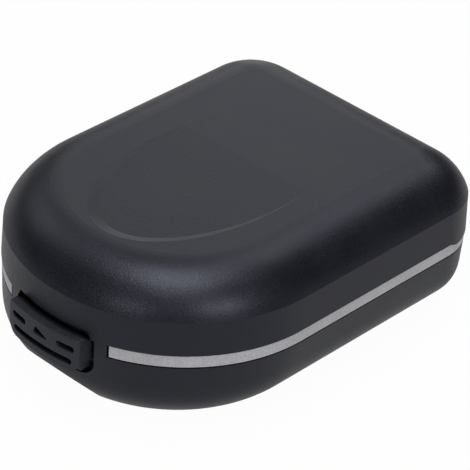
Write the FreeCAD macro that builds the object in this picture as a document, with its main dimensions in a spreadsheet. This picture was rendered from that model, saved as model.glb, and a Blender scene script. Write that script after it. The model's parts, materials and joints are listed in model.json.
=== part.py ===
import FreeCAD, Part
import Sketcher
import math
import os

# Hearing aid carrying case: a D shaped hard case with a hinged lid, a push latch at the
# rounded nose, a pale trim strip round the rim, and a fitted tray for two hearing aids.
# Millimetres. +Z is up, -Y is the nose with the latch, +Y is the hinge end.
# The origin lies on the floor, on the middle of the outline's length and width.

doc = FreeCAD.newDocument("hearing_aid_case")
sheet = doc.addObject("Spreadsheet::Sheet", "dims")

SIZES = (
    # rim outline, seen from above
    ("case_length", 90.0),
    ("half_width", 34.15),
    ("nose_flat", 1.0),
    ("rear_corner", 13.25),
    # foot outline, measured in from the rim outline, and the rounding of the foot
    ("foot_side_inset", 2.25),
    ("foot_front_inset", 1.1),
    ("foot_rear_inset", 1.05),
    ("foot_nose_flat", 5.0),
    ("foot_rear_corner", 9.6),
    ("foot_round", 8.5),
    ("facet_reach", 7.0),
    # levels
    ("rim_height", 14.6),
    ("seam_height", 17.25),
    ("crease_height", 24.55),
    ("seam_gap", 0.15),
    ("rear_drop", 0.8),
    ("rear_step", 12.9),
    ("step_run", 1.8),
    # base shell
    ("rim_inset", 0.2),
    ("floor_thickness", 2.0),
    ("lip_gap", 0.3),
    ("lip_thickness", 1.5),
    ("lip_rise", 1.35),
    ("tray_ledge", 0.6),
    ("cavity_round", 6.7),
    # trim strips and the dark line under them
    ("nose_block_half", 13.05),
    ("hinge_block_half", 19.5),
    ("strip_end_gap", 0.4),
    ("strip_back_gap", 0.1),
    ("groove_height", 0.3),
    ("groove_depth", 0.6),
    # lid shell
    ("lid_wall", 1.8),
    ("crease_inset", 0.3),
    ("dome_radius", 12.25),
    ("crease_lean", 21.3),
    # thumb recess in the lid's top
    ("recess_x", 0.8),
    ("recess_inset", 42.0),
    ("recess_half_width", 17.0),
    ("recess_half_length", 29.3),
    ("recess_slope_width", 2.7),
    ("recess_depth", 0.75),
    ("recess_fade", 9.0),
    # scoop in the lid's edge above the latch
    ("scoop_half", 9.6),
    ("scoop_slant", 0.35),
    ("scoop_height", 1.5),
    ("scoop_depth", 1.1),
    # hinge
    ("hinge_offset", 1.9),
    ("hinge_sink", 0.1),
    ("knuckle_radius", 2.2),
    ("knuckle_gap", 0.3),
    ("knuckle_width", 7.2),
    ("knuckle_web", 1.0),
    ("hinge_pin_radius", 0.9),
    ("press_clearance", 0.02),
    ("turn_clearance", 0.05),
    # latch button and the window that it sits in
    ("latch_proud", 2.25),
    ("latch_half", 9.6),
    ("latch_bottom", 10.3),
    ("latch_top", 17.65),
    ("latch_corner", 2.6),
    ("latch_depth", 3.4),
    ("latch_face", 1.6),
    ("latch_wall", 1.2),
    ("latch_shelf_drop", 0.85),
    ("latch_shelf", 0.5),
    ("window_gap", 0.95),
    ("window_bottom", 8.7),
    ("window_corner", 3.0),
    ("pivot_depth", 3.8),
    ("pivot_height", 11.2),
    ("pivot_radius", 0.75),
    ("pivot_bite", 1.6),
    ("ear_radius", 1.9),
    ("ear_thickness", 1.4),
    ("ear_inset", 0.6),
    ("long_slot_half", 7.9),
    ("long_slot_height", 12.3),
    ("small_slot_x", 6.3),
    ("small_slot_half", 2.1),
    ("small_slot_height", 15.25),
    ("slot_tall", 1.35),
    ("peak_half", 1.8),
    ("peak_low", 14.45),
    ("peak_rise", 1.75),
    ("peak_lean", 1.1),
    ("peak_left_rise", 0.75),
    ("peak_right_rise", 0.3),
    # hook on the latch and catch in the lid
    ("hook_half", 3.5),
    ("hook_thickness", 1.2),
    ("hook_reach", 0.9),
    ("hook_nose", 1.4),
    ("hook_gap", 0.4),
    ("bridge_low", 13.1),
    ("bridge_thickness", 1.2),
    ("catch_half", 8.0),
    ("catch_bar", 1.3),
    ("catch_low", 18.6),
    ("catch_tall", 1.5),
    ("catch_gap", 0.3),
    ("catch_fit", 0.1),
    ("catch_plate", 1.2),
    ("catch_plate_depth", 7.0),
    ("catch_screw_x", 6.0),
    ("catch_screw_depth", 5.0),
    # latch spring and the bulkhead behind it
    ("spring_radius", 1.6),
    ("spring_wire", 0.4),
    ("spring_turns", 3),
    ("spring_height", 14.0),
    ("spring_room", 3.6),
    ("bulkhead_half", 6.0),
    ("bulkhead_low", 11.4),
    ("bulkhead_thickness", 1.2),
    # screws
    ("screw_radius", 0.8),
    ("screw_head_radius", 1.6),
    ("screw_head_height", 1.0),
    ("screw_length", 6.0),
    ("screw_room", 0.15),
    ("boss_radius", 2.2),
    ("pilot_spare", 0.3),
    # tray
    ("tray_thickness", 1.4),
    ("tray_gap", 0.2),
    ("tray_wall", 1.2),
    ("well_x", 15.5),
    ("well_half", 9.5),
    ("well_front_inset", 21.5),
    ("well_rear_inset", 19.5),
    ("well_floor", 4.8),
    ("well_round", 2.5),
    ("tray_screw_front_inset", 34.0),
    ("tray_screw_rear_inset", 24.0),
    # soft liners in the wells
    ("liner_gap", 0.15),
    ("liner_thickness", 1.0),
    ("liner_drop", 0.5),
    # cell pockets and their sliding cover
    ("battery_x", 5.3),
    ("battery_pitch", 9.6),
    ("battery_inset", 11.4),
    ("battery_radius", 4.2),
    ("battery_depth", 4.6),
    ("slide_half", 5.3),
    ("slide_left", -21.0),
    ("slide_right", 20.4),
    ("slide_depth", 1.5),
    ("slide_plate", 0.8),
    ("slide_lip", 0.9),
    ("slide_gap", 0.1),
    ("cover_length", 20.2),
    ("cover_ridge", 0.3),
    # drying capsule and its cap
    ("capsule_inset", 19.6),
    ("capsule_radius", 6.9),
    ("capsule_height", 6.8),
    ("capsule_round", 0.8),
    ("cup_radius", 7.2),
    ("cup_floor", 5.8),
    ("cap_flange", 7.9),
    ("cap_flange_height", 0.8),
    ("cap_skirt_height", 2.2),
    ("cap_skirt_wall", 1.0),
    ("cap_gap", 0.2),
    ("cap_hole", 0.6),
    ("cap_hole_pitch", 2.4),
    ("lug_reach", 0.5),
    ("lug_height", 0.7),
    ("lug_half", 1.4),
    # lining inside the lid
    ("panel_height", 18.9),
    ("panel_thickness", 2.0),
    ("panel_gap", 0.4),
    ("panel_notch_half", 10.0),
    ("panel_notch_depth", 9.5),
    ("panel_screw_x", 20.0),
    ("panel_screw_front_inset", 30.0),
    ("panel_screw_rear_inset", 15.5),
    ("pad_inset", 10.0),
    ("pad_thickness", 2.0),
    ("pad_round", 0.8),
)

for row, (alias, value) in enumerate(SIZES, start=1):
    sheet.set(f"A{row}", alias)
    sheet.set(f"B{row}", str(value))
    sheet.setAlias(f"B{row}", alias)
doc.recompute()

# levels and depths that several pieces share, as expressions of the sheet's cells
FRONT = "(-dims.case_length / 2)"
REAR = "(dims.case_length / 2)"
WALL_TOP = "(dims.seam_height - dims.seam_gap)"
REAR_SEAM = "(dims.seam_height - dims.rear_drop)"
REAR_TOP = f"({REAR_SEAM} - dims.seam_gap)"
LIP_TOP = "(dims.seam_height + dims.lip_rise)"
LIP_OUT = "(dims.lid_wall + dims.lip_gap)"
LIP_IN = f"({LIP_OUT} + dims.lip_thickness)"
CAVITY_IN = f"({LIP_IN} + dims.tray_ledge)"
TRAY_TOP = "(dims.rim_height + dims.tray_thickness)"
DOME_SPRING = "(dims.crease_height - dims.dome_radius * sin(dims.crease_lean * 1deg))"
DOME_TOP = f"({DOME_SPRING} + dims.dome_radius)"
DOME_IN = "(dims.crease_inset - dims.dome_radius * (1 - cos(dims.crease_lean * 1deg)))"
HINGE_Y = f"({REAR} + dims.hinge_offset)"
HINGE_Z = f"({REAR_SEAM} - dims.hinge_sink)"
PIVOT_Y = f"({FRONT} + dims.pivot_depth)"
CATCH_IN = "(dims.lid_wall + dims.catch_fit)"
CATCH_BACK = f"({FRONT} + {CATCH_IN} + dims.catch_bar)"
HOOK_Y = f"({CATCH_BACK} + dims.hook_gap)"
HOOK_BACK = f"({HOOK_Y} + dims.hook_thickness)"
HOOK_LOW = "(dims.catch_low + dims.catch_tall + dims.hook_gap)"
HOOK_TOP = f"({HOOK_LOW} + dims.hook_nose)"
CATCH_PLATE = f"({HOOK_TOP} + dims.catch_gap)"
CATCH_SCREW_Y = f"({CATCH_BACK} + dims.catch_screw_depth - dims.catch_bar)"
BULKHEAD_Y = f"({HOOK_BACK} + dims.spring_room)"
WINDOW_HALF = "(dims.latch_half + dims.window_gap)"
PANEL_TOP = "(dims.panel_height + dims.panel_thickness)"
SLIDE_FLOOR = f"({TRAY_TOP} - dims.slide_depth)"
TRAY_SEAT = f"({TRAY_TOP} - dims.screw_head_height)"
TRAY_BOSS = f"({TRAY_SEAT} - dims.tray_thickness)"
CAP_TOP = f"({TRAY_TOP} - dims.slide_gap)"
CAP_LOW = f"({CAP_TOP} - dims.cap_flange_height)"
SKIRT_LOW = f"({CAP_LOW} - dims.cap_skirt_height)"
SKIRT_RADIUS = "(dims.cup_radius - dims.cap_gap)"
BATTERY_Y = f"({REAR} - dims.battery_inset)"
CAPSULE_Y = f"({FRONT} + dims.capsule_inset)"
RECESS_Y = f"({FRONT} + dims.recess_inset)"
# how far the tools that cut or limit a piece reach past it
OVER = 1.0
BEYOND = 10.0
NEAR = 30.0
FAR = 100.0


def num(expression):
    """The value of an expression of the sheet's cells, in millimetres."""
    value = sheet.evalExpression(str(expression))
    return float(getattr(value, "Value", value))


def bind(item, **expressions):
    for name, expression in expressions.items():
        item.setExpression(name.replace("__", "."), str(expression))
    return item


def new_body(name):
    return doc.addObject("PartDesign::Body", name)


def sketch_on(body, name, role, level, shift):
    """An empty sketch on one of the body's own origin planes, moved off it by level."""
    sketch = body.newObject("Sketcher::SketchObject", name)
    plane = next(p for p in body.Origin.OriginFeatures if p.Role == role)
    sketch.AttachmentSupport = [(plane, "")]
    sketch.MapMode = "FlatFace"
    bind(sketch, AttachmentOffset__Base__z=level, AttachmentOffset__Base__x=shift)
    return sketch


def arc(x, y, radius, start):
    circle = Part.Circle(FreeCAD.Vector(x, y, 0), FreeCAD.Vector(0, 0, 1), radius)
    return Part.ArcOfCircle(circle, start, start + math.pi / 2)


def line(x0, y0, x1, y1):
    return Part.LineSegment(FreeCAD.Vector(x0, y0, 0), FreeCAD.Vector(x1, y1, 0))


def rounded(body, name, half, low, high, low_radius, high_radius,
            role="XY_Plane", level="0", shift="0"):
    """A closed outline: a rectangle about the sketch's own Y axis, with round corners.

    With a large low radius it is the case's D shape, and with two large ones a capsule.
    """
    sketch = sketch_on(body, name, role, level, shift)
    w, y0, y1, r0, r1 = (num(e) for e in (half, low, high, low_radius, high_radius))
    quarter = math.pi / 2
    sketch.addGeometry([
        line(r0 - w, y0, w - r0, y0),
        arc(w - r0, y0 + r0, r0, -quarter),
        line(w, y0 + r0, w, y1 - r1),
        arc(w - r1, y1 - r1, r1, 0),
        line(w - r1, y1, r1 - w, y1),
        arc(r1 - w, y1 - r1, r1, quarter),
        line(-w, y1 - r1, -w, y0 + r0),
        arc(r0 - w, y0 + r0, r0, 2 * quarter),
    ], False)
    joined = [Sketcher.Constraint("Tangent", i, 2, (i + 1) % 8, 1) for i in range(8)]
    sketch.addConstraint(joined + [
        Sketcher.Constraint("Horizontal", 4),
        Sketcher.Constraint("Vertical", 2),
        Sketcher.Constraint("Vertical", 6),
        Sketcher.Constraint("Equal", 1, 7),
        Sketcher.Constraint("Equal", 3, 5),
        Sketcher.Constraint("Symmetric", 0, 1, 0, 2, -2),
    ])
    sizes = (
        ("half", Sketcher.Constraint("DistanceX", -1, 1, 2, 1, w), half),
        ("low", Sketcher.Constraint("DistanceY", -1, 1, 0, 1, y0), low),
        ("high", Sketcher.Constraint("DistanceY", -1, 1, 4, 1, y1), high),
        ("low_radius", Sketcher.Constraint("Radius", 1, r0), low_radius),
        ("high_radius", Sketcher.Constraint("Radius", 3, r1), high_radius),
    )
    for word, constraint, expression in sizes:
        index = sketch.addConstraint(constraint)
        sketch.renameConstraint(index, word)
        sketch.setExpression(f"Constraints.{word}", str(expression))
    return sketch


def polygon(body, name, points, role="YZ_Plane", level="0", shift="0"):
    """A closed outline of straight lines through points, each an expression pair."""
    sketch = sketch_on(body, name, role, level, shift)
    xy = [(num(x), num(y)) for x, y in points]
    count = len(xy)
    sketch.addGeometry([line(*xy[i], *xy[(i + 1) % count]) for i in range(count)], False)
    for i, (x, y) in enumerate(points):
        sketch.addConstraint(Sketcher.Constraint("Coincident", i, 2, (i + 1) % count, 1))
        for kind, value, expression in (("X", xy[i][0], x), ("Y", xy[i][1], y)):
            index = sketch.addConstraint(
                Sketcher.Constraint(f"Distance{kind}", -1, 1, i, 1, value))
            sketch.renameConstraint(index, f"point_{i}_{kind.lower()}")
            sketch.setExpression(f"Constraints.point_{i}_{kind.lower()}", str(expression))
    return sketch


def rim_outline(body, name, inset, level):
    """The D outline of the rim, inset by a distance, at a level."""
    inset = f"({inset})"
    return rounded(
        body, name, f"dims.half_width - {inset}",
        f"{FRONT} + {inset}", f"{REAR} - {inset}",
        f"dims.half_width - dims.nose_flat / 2 - {inset}",
        f"dims.rear_corner - {inset}", level=level)


def pad(body, name, sketch, length):
    feature = body.newObject("PartDesign::Pad", name)
    feature.Profile = sketch
    return bind(feature, Length=length)


def pocket(body, name, sketch, length):
    feature = body.newObject("PartDesign::Pocket", name)
    feature.Profile = sketch
    return bind(feature, Length=length)


def loft(body, name, first, second):
    feature = body.newObject("PartDesign::AdditiveLoft", name)
    feature.Profile = first
    feature.Sections = [second]
    feature.Ruled = True
    return feature


def fillet_level(body, name, feature, level, radius):
    """Rounds the edges of a feature that lie wholly at one level."""
    doc.recompute()
    z = num(level)
    edges = [f"Edge{i + 1}" for i, e in enumerate(feature.Shape.Edges)
             if all(abs(v.Z - z) < 1e-4 for v in e.Vertexes)
             and abs(e.BoundBox.ZMax - z) < 1e-3 and abs(e.BoundBox.ZMin - z) < 1e-3]
    rounding = body.newObject("PartDesign::Fillet", name)
    rounding.Base = (feature, edges)
    return bind(rounding, Radius=radius)


def box(name, x0, x1, y0, y1, z0, z1):
    item = doc.addObject("Part::Box", name)
    return bind(item, Length=f"({x1}) - ({x0})", Width=f"({y1}) - ({y0})",
                Height=f"({z1}) - ({z0})", Placement__Base__x=x0,
                Placement__Base__y=y0, Placement__Base__z=z0)


def middle_box(name, half, y0, y1, z0, z1):
    """A box that is even about the middle plane."""
    return box(name, f"-({half})", half, y0, y1, z0, z1)


def both_sides(name, x0, x1, y0, y1, z0, z1):
    """A box and its mirror image across the middle plane."""
    right = box(name + "_right", x0, x1, y0, y1, z0, z1)
    left = box(name + "_left", f"-({x1})", f"-({x0})", y0, y1, z0, z1)
    return [right, left]


def rod(name, along, radius, start, end, u, v):
    """A cylinder along X, Y or Z. u and v are the other two coordinates, in X Y Z order."""
    item = doc.addObject("Part::Cylinder", name)
    turns = {"X": ((0, 1, 0), 90), "Y": ((1, 0, 0), -90), "Z": ((0, 0, 1), 0)}
    axis, angle = turns[along]
    item.Placement.Rotation = FreeCAD.Rotation(FreeCAD.Vector(*axis), angle)
    places = {"X": (start, u, v), "Y": (u, start, v), "Z": (u, v, start)}[along]
    return bind(item, Radius=radius, Height=f"({end}) - ({start})",
                Placement__Base__x=places[0], Placement__Base__y=places[1],
                Placement__Base__z=places[2])


def fuse(name, *pieces):
    item = doc.addObject("Part::MultiFuse", name)
    item.Shapes = list(pieces)
    item.Refine = True
    return item


def cut(name, base, *tools):
    item = doc.addObject("Part::Cut", name)
    item.Base = base
    item.Tool = tools[0] if len(tools) == 1 else fuse(name + "_tools", *tools)
    item.Refine = True
    return item


def common(name, first, second):
    item = doc.addObject("Part::Common", name)
    item.Base = first
    item.Tool = second
    item.Refine = True
    return item


def ring(name, outer, inner, low, high):
    """A band that follows the rim outline between two insets and two levels."""
    body = new_body(name)
    pad(body, name + "_solid", rim_outline(body, name + "_outer", outer, low),
        f"{high} - {low}")
    pocket(body, name + "_bore", rim_outline(body, name + "_inner", inner, high),
           f"{high} - {low}")
    return body


def solid_outline(name, inset, low, high):
    """A plate with the rim outline, inset by a distance, between two levels."""
    body = new_body(name)
    pad(body, name + "_solid", rim_outline(body, name + "_edge", inset, low),
        f"({high}) - ({low})")
    return body


def capsule(name, inset, bottom, top, x, rounding):
    """A well's space, long along Y with round ends and a rounded bottom, centred on x."""
    body = new_body(name)
    half = f"dims.well_half - {inset}"
    radius = f"dims.well_half * 0.95 - {inset}"
    sketch = rounded(body, name + "_outline", half,
                     f"{FRONT} + dims.well_front_inset + {inset}",
                     f"{REAR} - dims.well_rear_inset - {inset}", radius, radius,
                     level=bottom, shift=x)
    solid = pad(body, name + "_solid", sketch, f"({top}) - ({bottom})")
    fillet_level(body, name + "_bottom", solid, bottom, rounding)
    return body


def nose_prism(name, half, low, high, low_radius, high_radius):
    """A prism along Y through the nose, with the outline that the front view shows."""
    body = new_body(name)
    sketch = rounded(body, name + "_outline", half, low, high, low_radius, high_radius,
                     role="XZ_Plane", level=NEAR)
    pad(body, name + "_solid", sketch, FAR)
    return body


def side_prism(name, points, half):
    """A prism along X, even about the middle plane, through points of the side view."""
    body = new_body(name)
    pad(body, name + "_solid", polygon(body, name + "_side", points, level=f"-({half})"),
        f"2 * ({half})")
    return body


def rear_prism(name):
    """The room over the trim strips behind the step near the rear corners."""
    back = f"{REAR} + {BEYOND}"
    start = f"{REAR} - dims.rear_step"
    return side_prism(name, [
        (start, WALL_TOP),
        (f"{start} + dims.step_run", REAR_TOP),
        (back, REAR_TOP),
        (back, "dims.seam_height"),
        (start, "dims.seam_height"),
    ], FAR / 2)


def screws(label, places, way):
    """Pan head screws, pointing up or down, as one group of separate solids."""
    pieces = []
    for number, (x, y, z) in enumerate(places):
        head_far = f"({z}) - ({way}) * dims.screw_head_height"
        tip = f"({z}) + ({way}) * dims.screw_length"
        low, high = (head_far, z) if way > 0 else (z, head_far)
        head = rod(f"{label}_head_{number}", "Z", "dims.screw_head_radius", low, high, x, y)
        low, high = (z, tip) if way > 0 else (tip, z)
        shank = rod(f"{label}_shank_{number}", "Z", "dims.screw_radius", low, high, x, y)
        slot = "dims.screw_head_height * 0.45"
        slot_low, slot_high = (
            (head_far, f"{head_far} + {slot}") if way > 0 else (f"{head_far} - {slot}", head_far))
        arm = "dims.screw_head_radius * 0.62"
        half = "dims.screw_radius * 0.25"
        cross = [
            box(f"{label}_slot_a_{number}", f"({x}) - {arm}", f"({x}) + {arm}",
                f"({y}) - {half}", f"({y}) + {half}", slot_low, slot_high),
            box(f"{label}_slot_b_{number}", f"({x}) - {half}", f"({x}) + {half}",
                f"({y}) - {arm}", f"({y}) + {arm}", slot_low, slot_high),
        ]
        pieces.append(cut(f"{label}_{number}",
                          fuse(f"{label}_whole_{number}", head, shank), *cross))
    group = doc.addObject("Part::Compound", label)
    group.Links = pieces
    return group


def knuckles(label, centres, way):
    """Hinge knuckles at the given counts of pitches, each with a web to the rear wall."""
    pieces = []
    for number, count in enumerate(centres):
        middle = f"({count}) * (dims.knuckle_width + dims.knuckle_gap)"
        start = f"{middle} - dims.knuckle_width / 2"
        barrel = rod(f"{label}_barrel_{number}", "X", "dims.knuckle_radius", start,
                     f"{start} + dims.knuckle_width", HINGE_Y, HINGE_Z)
        body = new_body(f"{label}_web_{number}")
        foot = f"({HINGE_Y} + 0.8 * dims.knuckle_radius)"
        drop = "0.6 * dims.knuckle_radius"
        root = f"({REAR} - dims.lid_wall / 2)"
        sketch = polygon(body, f"{label}_web_side_{number}", [
            (root, f"{HINGE_Z} + ({way}) * dims.knuckle_web"),
            (HINGE_Y, HINGE_Z),
            (foot, f"{HINGE_Z} + ({way}) * {drop}"),
            (root, f"{HINGE_Z} + ({way}) * ({drop} + ({foot} - {root}) * 4 / 3)"),
        ], level=start)
        pad(body, f"{label}_web_solid_{number}", sketch, "dims.knuckle_width")
        pieces += [barrel, body]
    return pieces


def knuckle_reliefs(label, centres):
    """The room that a shell leaves round the other shell's knuckles."""
    pieces = []
    for number, count in enumerate(centres):
        middle = f"({count}) * (dims.knuckle_width + dims.knuckle_gap)"
        reach = "(dims.knuckle_width / 2 + dims.knuckle_gap)"
        pieces.append(rod(f"{label}_{number}", "X", "dims.knuckle_radius + dims.knuckle_gap",
                          f"{middle} - {reach}", f"{middle} + {reach}", HINGE_Y, HINGE_Z))
    return pieces


BASE_KNUCKLES = (-2, 0, 2)
LID_KNUCKLES = (-1, 1)
HINGE_HALF = "(2.5 * dims.knuckle_width + 2 * dims.knuckle_gap)"
PANEL_SCREWS = [(f"{side} * dims.panel_screw_x", y) for side in (-1, 1)
                for y in (f"({FRONT} + dims.panel_screw_front_inset)",
                          f"({REAR} - dims.panel_screw_rear_inset)")]
CATCH_SCREWS = [(f"{side} * dims.catch_screw_x", CATCH_SCREW_Y) for side in (-1, 1)]
TRAY_SCREWS = [("0", f"({FRONT} + dims.tray_screw_front_inset)"),
               ("0", f"({REAR} - dims.tray_screw_rear_inset)")]


def strip_zone(name, item, nose_half, hinge_half):
    """Keeps the part of a rim piece between the nose block and the hinge block."""
    nose = middle_box(name + "_nose", nose_half, -FAR, 0, 0, FAR)
    hinge = middle_box(name + "_hinge", hinge_half, 0, FAR, 0, FAR)
    return cut(name, item, nose, hinge)


def base_outline(body, name, level, share, drawn):
    """The base's outline at a level. share runs from 0 at the foot to 1 at the rim."""
    def mixed(foot, rim):
        return f"(({foot}) * (1 - {share}) + ({rim}) * {share})"

    side, front, rear = (f"({mixed(f'dims.foot_{word}_inset', 'dims.rim_inset')} + {drawn})"
                         for word in ("side", "front", "rear"))
    flat = mixed("dims.foot_nose_flat", "dims.nose_flat")
    corner = mixed("dims.foot_rear_corner", "dims.rear_corner - dims.rim_inset")
    return rounded(body, name, f"dims.half_width - {side}", f"{FRONT} + {front}",
                   f"{REAR} - {rear}", f"dims.half_width - {side} - {flat} / 2",
                   f"{corner} - {drawn}", level=level)


def base_section(body, turn):
    """The base's outline at a turn of the foot's rounding, in degrees from the floor."""
    level = f"(dims.foot_round * (1 - cos({turn} * 1deg)))"
    drawn = f"(dims.foot_round * (1 - sin({turn} * 1deg)))"
    return base_outline(body, f"base_section_{turn}", level,
                        f"({level} / dims.rim_height)", drawn)


def make_base_shell():
    """Lower casing: rounded foot, rim with a locating lip, latch window and hinge webs."""
    body = new_body("base_outer")
    sections = [base_section(body, turn) for turn in range(0, 91, 15)]
    sections += [base_outline(body, f"base_outline_{n}", f"{share} * dims.rim_height",
                              str(share), "0") for n, share in enumerate((0.8, 1))]
    wall = body.newObject("PartDesign::AdditiveLoft", "base_wall")
    wall.Profile = sections[0]
    wall.Sections = sections[1:]

    nose = common("base_nose", ring("base_nose_ring", "dims.rim_inset", LIP_IN,
                                    "dims.rim_height", WALL_TOP),
                  middle_box("base_nose_zone", "dims.nose_block_half", -FAR, 0, 0, FAR))
    rear = common("base_rear", ring("base_rear_ring", "dims.rim_inset", LIP_IN,
                                    "dims.rim_height", REAR_TOP),
                  middle_box("base_rear_zone", "dims.hinge_block_half", 0, FAR, 0, FAR))
    lip = ring("base_lip", LIP_OUT, LIP_IN, "dims.rim_height", LIP_TOP)
    walls = fuse("base_walls", body, nose, rear, lip)

    cavity = new_body("base_cavity")
    space = pad(cavity, "base_cavity_solid",
                rim_outline(cavity, "base_cavity_edge", CAVITY_IN, "dims.floor_thickness"),
                "dims.rim_height - dims.floor_thickness")
    fillet_level(cavity, "base_cavity_round", space, "dims.floor_thickness",
                 "dims.cavity_round")
    groove = strip_zone(
        "base_groove",
        ring("base_groove_ring", "-1", "dims.rim_inset + dims.groove_depth",
             "(dims.rim_height - dims.groove_height)", "dims.rim_height"),
        "dims.nose_block_half", "dims.hinge_block_half")
    window = nose_prism("base_window", WINDOW_HALF, "dims.window_bottom",
                        f"{LIP_TOP} + {BEYOND}", "dims.window_corner", OVER)
    facet = side_prism("base_facet", [
        (f"{FRONT} + dims.facet_reach + {OVER}", -OVER),
        (f"{FRONT} - {BEYOND}", f"dims.facet_reach + {BEYOND}"),
        (f"{FRONT} - {BEYOND}", -OVER),
    ], FAR / 2)
    hollow = cut("base_hollow", walls, cavity, groove, window, facet,
                 *knuckle_reliefs("base_relief", LID_KNUCKLES))

    bosses = [rod(f"base_boss_{n}", "Z", "dims.boss_radius", "dims.floor_thickness / 2",
                  TRAY_BOSS, x, y) for n, (x, y) in enumerate(TRAY_SCREWS)]
    whole = fuse("base_whole", hollow, *bosses, *knuckles("base_knuckle", BASE_KNUCKLES, -1))
    holes = [rod(f"base_pilot_{n}", "Z", "dims.screw_radius + dims.press_clearance",
                 f"{TRAY_SEAT} - dims.screw_length - dims.pilot_spare", TRAY_TOP, x, y)
             for n, (x, y) in enumerate(TRAY_SCREWS)]
    pivot_half = f"({WINDOW_HALF} + dims.pivot_bite)"
    holes.append(rod("base_pivot_hole", "X", "dims.pivot_radius + dims.press_clearance",
                     f"-{pivot_half}", pivot_half, PIVOT_Y, "dims.pivot_height"))
    holes.append(rod("base_hinge_bore", "X", "dims.hinge_pin_radius + dims.press_clearance",
                     f"-{HINGE_HALF}", HINGE_HALF, HINGE_Y, HINGE_Z))
    return cut("base_shell", whole, *holes)


def make_trim_strips():
    """Pale strips let into the rim, one on each side, with a step near the rear corner."""
    pieces = []
    for side, low, high in (("left", -FAR, 0), ("right", 0, FAR)):
        name = f"trim_strip_{side}"
        band = ring(f"{name}_band", "dims.rim_inset", f"({LIP_OUT} - dims.strip_back_gap)",
                    "dims.rim_height", WALL_TOP)
        half = common(f"{name}_half", band,
                      box(f"{name}_side", low, high, -FAR, FAR, 0, FAR))
        ends = strip_zone(f"{name}_ends", half,
                          "dims.nose_block_half + dims.strip_end_gap",
                          "dims.hinge_block_half + dims.strip_end_gap")
        pieces.append(cut(name, ends, rear_prism(f"{name}_step")))
    return pieces


def lid_outer():
    """The lid's outer form: a leaning skirt under a rounded dome, with a step at the rear."""
    skirt = new_body("lid_skirt")
    loft(skirt, "lid_skirt_wall", rim_outline(skirt, "lid_skirt_low", "0", REAR_SEAM),
         rim_outline(skirt, "lid_skirt_high", "dims.crease_inset", "dims.crease_height"))
    dome = new_body("lid_dome")
    low = f"({DOME_SPRING} - {OVER})"
    block = pad(dome, "lid_dome_block", rim_outline(dome, "lid_dome_edge", DOME_IN, low),
                f"{DOME_TOP} - {low}")
    fillet_level(dome, "lid_dome_round", block, DOME_TOP, "dims.dome_radius")
    above = box("lid_above_crease", -FAR, FAR, -FAR, FAR, "dims.crease_height", FAR)
    step = side_prism("lid_step", [
        (f"{FRONT} - {BEYOND}", "0"),
        (f"{REAR} - dims.rear_step + dims.step_run * 2", f"{REAR_SEAM} - dims.rear_drop"),
        (f"{REAR} - dims.rear_step", "dims.seam_height"),
        (f"{FRONT} - {BEYOND}", "dims.seam_height"),
    ], FAR / 2)
    return cut("lid_outer", fuse("lid_form", skirt, common("lid_cap", dome, above)), step)


def lid_core(name, wall):
    """The space inside the lid, a distance in from the lid's outer form."""
    skirt = solid_outline(f"{name}_skirt", wall, f"({REAR_SEAM} - {BEYOND})",
                          "dims.crease_height")
    dome = new_body(f"{name}_dome")
    inset = f"({DOME_IN} + {wall})"
    low = f"({DOME_SPRING} - {OVER})"
    top = f"({DOME_TOP} - {wall})"
    block = pad(dome, f"{name}_block", rim_outline(dome, f"{name}_edge", inset, low),
                f"{top} - {low}")
    fillet_level(dome, f"{name}_round", block, top, f"dims.dome_radius - {wall}")
    above = box(f"{name}_above", -FAR, FAR, -FAR, FAR, "dims.crease_height", FAR)
    return fuse(name, skirt, common(f"{name}_cap", dome, above))


def ellipse(name, inset, level):
    item = doc.addObject("Part::Ellipse", name)
    item.Placement.Rotation = FreeCAD.Rotation(FreeCAD.Vector(0, 0, 1), 90)
    return bind(item, MajorRadius=f"dims.recess_half_length - ({inset})",
                MinorRadius=f"dims.recess_half_width - ({inset})",
                Placement__Base__x="dims.recess_x", Placement__Base__y=RECESS_Y,
                Placement__Base__z=level)


def thumb_recess():
    """A shallow dish with a sloped front edge, whose floor rises to nothing at the rear."""
    slope = "(dims.recess_slope_width / dims.recess_depth)"
    dish = doc.addObject("Part::Loft", "recess_dish")
    dish.Sections = [
        ellipse("recess_rim", f"-{OVER} * {slope}", f"{DOME_TOP} + {OVER}"),
        ellipse("recess_floor", "1.5 * dims.recess_slope_width",
                f"{DOME_TOP} - 1.5 * dims.recess_depth"),
    ]
    dish.Solid = True
    dish.Ruled = True
    front = f"({RECESS_Y} - dims.recess_half_length)"
    rise = "(dims.recess_depth / (dims.recess_fade + dims.recess_half_length))"
    wedge = side_prism("recess_wedge", [
        (f"{front} - {BEYOND}", f"{DOME_TOP} - dims.recess_depth - {BEYOND} * {rise}"),
        (f"{RECESS_Y} + dims.recess_fade + {OVER} / {rise}", f"{DOME_TOP} + {OVER}"),
        (f"{front} - {BEYOND}", f"{DOME_TOP} + {OVER}"),
    ], FAR / 2)
    return common("recess_space", dish, wedge)


def finger_scoop():
    """The hollow in the lid's edge above the latch."""
    band = ring("scoop_band", -OVER, "dims.scoop_depth", f"({REAR_SEAM} - {OVER})",
                "(dims.seam_height + dims.scoop_height)")
    body = new_body("scoop_zone")
    low = f"(dims.scoop_half + dims.scoop_slant)"
    high = f"(dims.scoop_half - dims.scoop_slant)"
    middle = "dims.seam_height"
    top = "(dims.seam_height + dims.scoop_height)"
    sketch = polygon(body, "scoop_face", [
        (f"-{low}", "0"),
        (low, "0"),
        (low, middle),
        (high, top),
        (f"-{high}", top),
        (f"-{low}", middle),
    ], role="XZ_Plane", level=NEAR)
    pad(body, "scoop_zone_solid", sketch, FAR)
    return common("scoop_space", band, body)


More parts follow.
